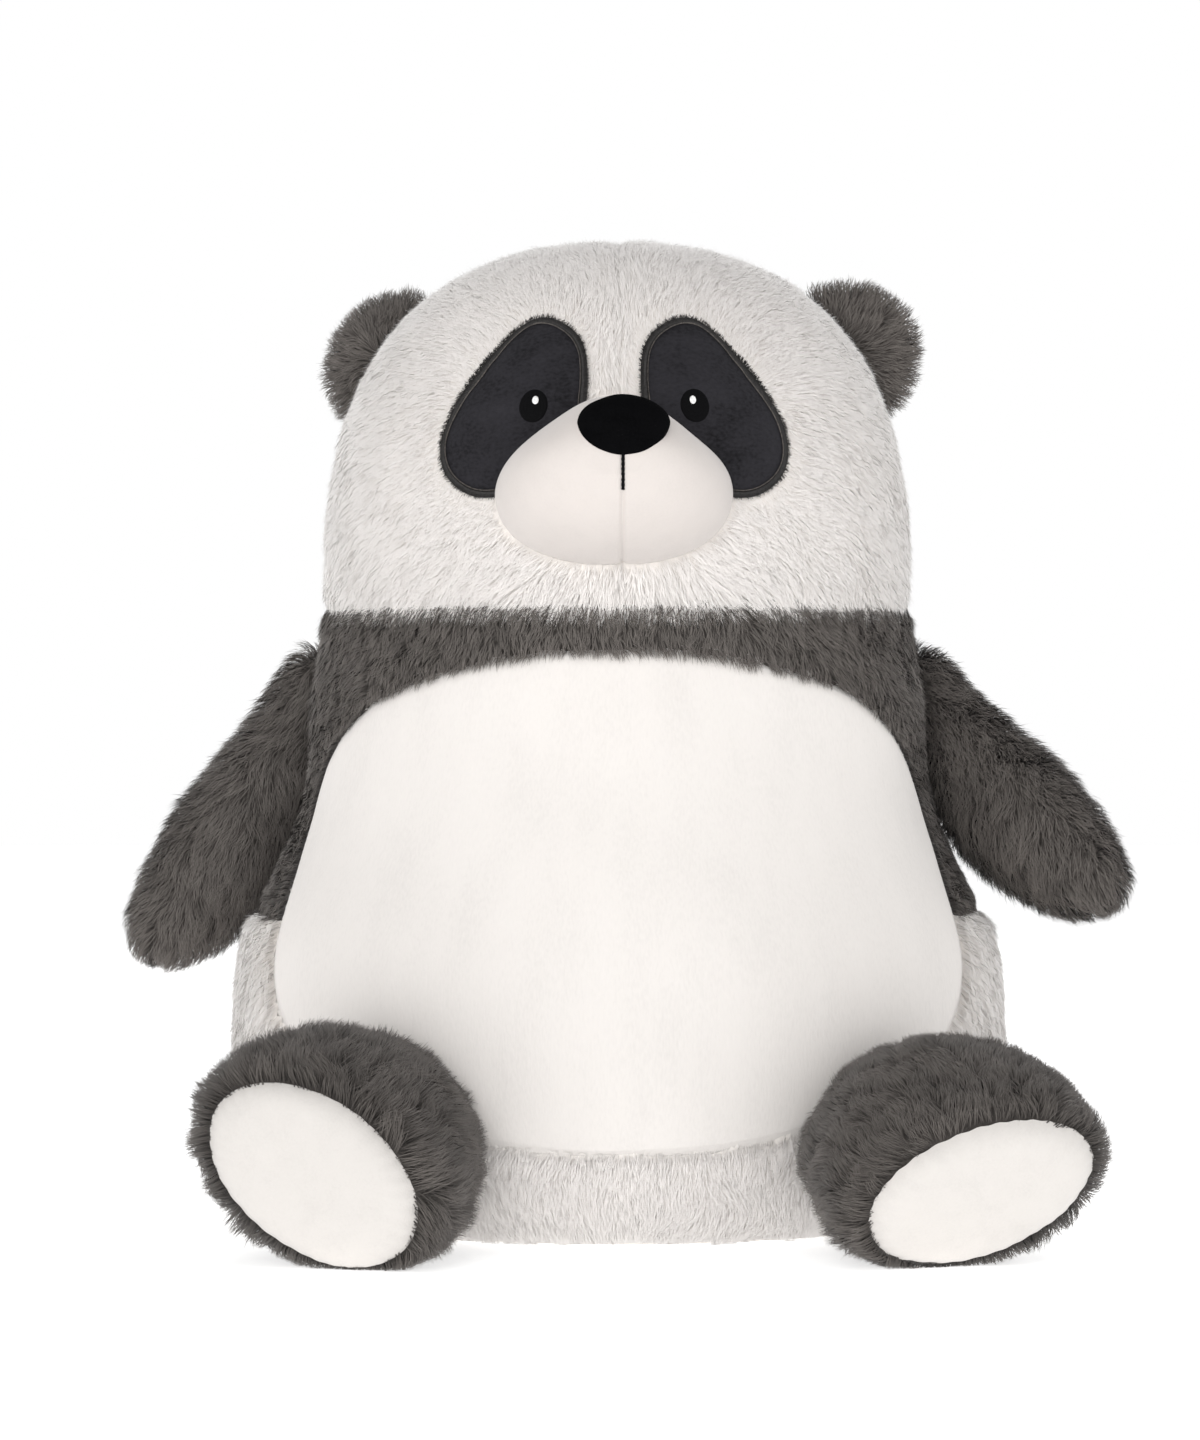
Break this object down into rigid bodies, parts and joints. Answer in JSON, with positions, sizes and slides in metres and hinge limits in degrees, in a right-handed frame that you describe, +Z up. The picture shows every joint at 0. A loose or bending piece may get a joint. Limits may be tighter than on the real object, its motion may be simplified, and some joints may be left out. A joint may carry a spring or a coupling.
{
  "type": "plush panda",
  "caption": "Seated plush panda with pile fur, smooth velour belly, muzzle and soles, embroidered eyes, and sewn-on arms, legs and ears that flex at their seams.",
  "frame": {"origin": "centre of the flat base that the panda sits on", "axes": "+Z up, the panda looks along -Y, its own left side is at +X"},
  "size_m": [0.3915, 0.3282, 0.386],
  "materials": {
    "white_pile_fur": "matte",
    "grey_pile_fur": "matte",
    "white_velour": "matte",
    "base_cloth": "matte",
    "dark_velour": "matte",
    "border_embroidery": "matte",
    "black_velour": "matte",
    "black_thread": "matte",
    "white_thread": "matte",
    "grey_thread": "matte",
    "fibre_filling": "matte"
  },
  "bodies": {
    "trunk": {"base_panel": "base_cloth", "belly_panel": "white_velour", "body_filling": "fibre_filling", "closing_stitches": "grey_thread", "eye_glint_left": "white_thread", "eye_glint_right": "white_thread", "eye_left": "black_thread", "eye_patch_border_left": "border_embroidery", "eye_patch_border_right": "border_embroidery", "eye_patch_left": "dark_velour", "eye_patch_right": "dark_velour", "eye_right": "black_thread", "head_back_left": "white_pile_fur", "head_back_right": "white_pile_fur", "head_filling": "fibre_filling", "head_front_left": "white_pile_fur", "head_front_right": "white_pile_fur", "lower_front": "white_pile_fur", "lower_left": "white_pile_fur", "lower_right": "white_pile_fur", "mouth_stitch": "black_thread", "muzzle_filling": "fibre_filling", "muzzle_left": "white_velour", "muzzle_right": "white_velour", "nose_cover": "black_velour", "nose_filling": "fibre_filling", "tail_cover": "white_pile_fur", "tail_filling": "fibre_filling", "yoke_back_left": "grey_pile_fur", "yoke_back_right": "grey_pile_fur", "yoke_front": "grey_pile_fur"},
    "left_arm": {"left_arm_back": "grey_pile_fur", "left_arm_filling": "fibre_filling", "left_arm_front": "grey_pile_fur"},
    "left_leg": {"left_foot_sole": "white_velour", "left_leg_filling": "fibre_filling", "left_leg_inner": "grey_pile_fur", "left_leg_outer": "grey_pile_fur"},
    "left_ear": {"left_ear_back": "grey_pile_fur", "left_ear_front": "grey_pile_fur"},
    "right_arm": {"right_arm_back": "grey_pile_fur", "right_arm_filling": "fibre_filling", "right_arm_front": "grey_pile_fur"},
    "right_leg": {"right_foot_sole": "white_velour", "right_leg_filling": "fibre_filling", "right_leg_inner": "grey_pile_fur", "right_leg_outer": "grey_pile_fur"},
    "right_ear": {"right_ear_back": "grey_pile_fur", "right_ear_front": "grey_pile_fur"}
  },
  "joints": [
    {"name": "left_shoulder", "type": "hinge", "parent": "trunk", "child": "left_arm", "pos_m": [0.12196, 0.03498, 0.2125], "axis": [0, -1, 0], "range_deg": [-3, 65], "stiffness_Nm_per_rad": 0.02, "springref_deg": 3.44},
    {"name": "right_shoulder", "type": "hinge", "parent": "trunk", "child": "right_arm", "pos_m": [-0.12196, 0.03498, 0.2125], "axis": [0, 1, 0], "range_deg": [-3, 65], "stiffness_Nm_per_rad": 0.02, "springref_deg": 3.44},
    {"name": "left_hip", "type": "hinge", "parent": "trunk", "child": "left_leg", "pos_m": [0.103, -0.098, 0.068], "axis": [-0.9511, -0.309, 0], "range_deg": [0, 25]},
    {"name": "right_hip", "type": "hinge", "parent": "trunk", "child": "right_leg", "pos_m": [-0.0897, -0.1079, 0.07], "axis": [-0.9613, 0.2756, 0], "range_deg": [0, 25]},
    {"name": "left_ear_flex", "type": "hinge", "parent": "trunk", "child": "left_ear", "pos_m": [0.0928, 0.012, 0.346], "axis": [0.6157, 0, -0.788], "range_deg": [-10, 10], "stiffness_Nm_per_rad": 0.01},
    {"name": "right_ear_flex", "type": "hinge", "parent": "trunk", "child": "right_ear", "pos_m": [-0.0939, 0.014, 0.3438], "axis": [0.5299, 0, 0.848], "range_deg": [-10, 10], "stiffness_Nm_per_rad": 0.01}
  ]
}
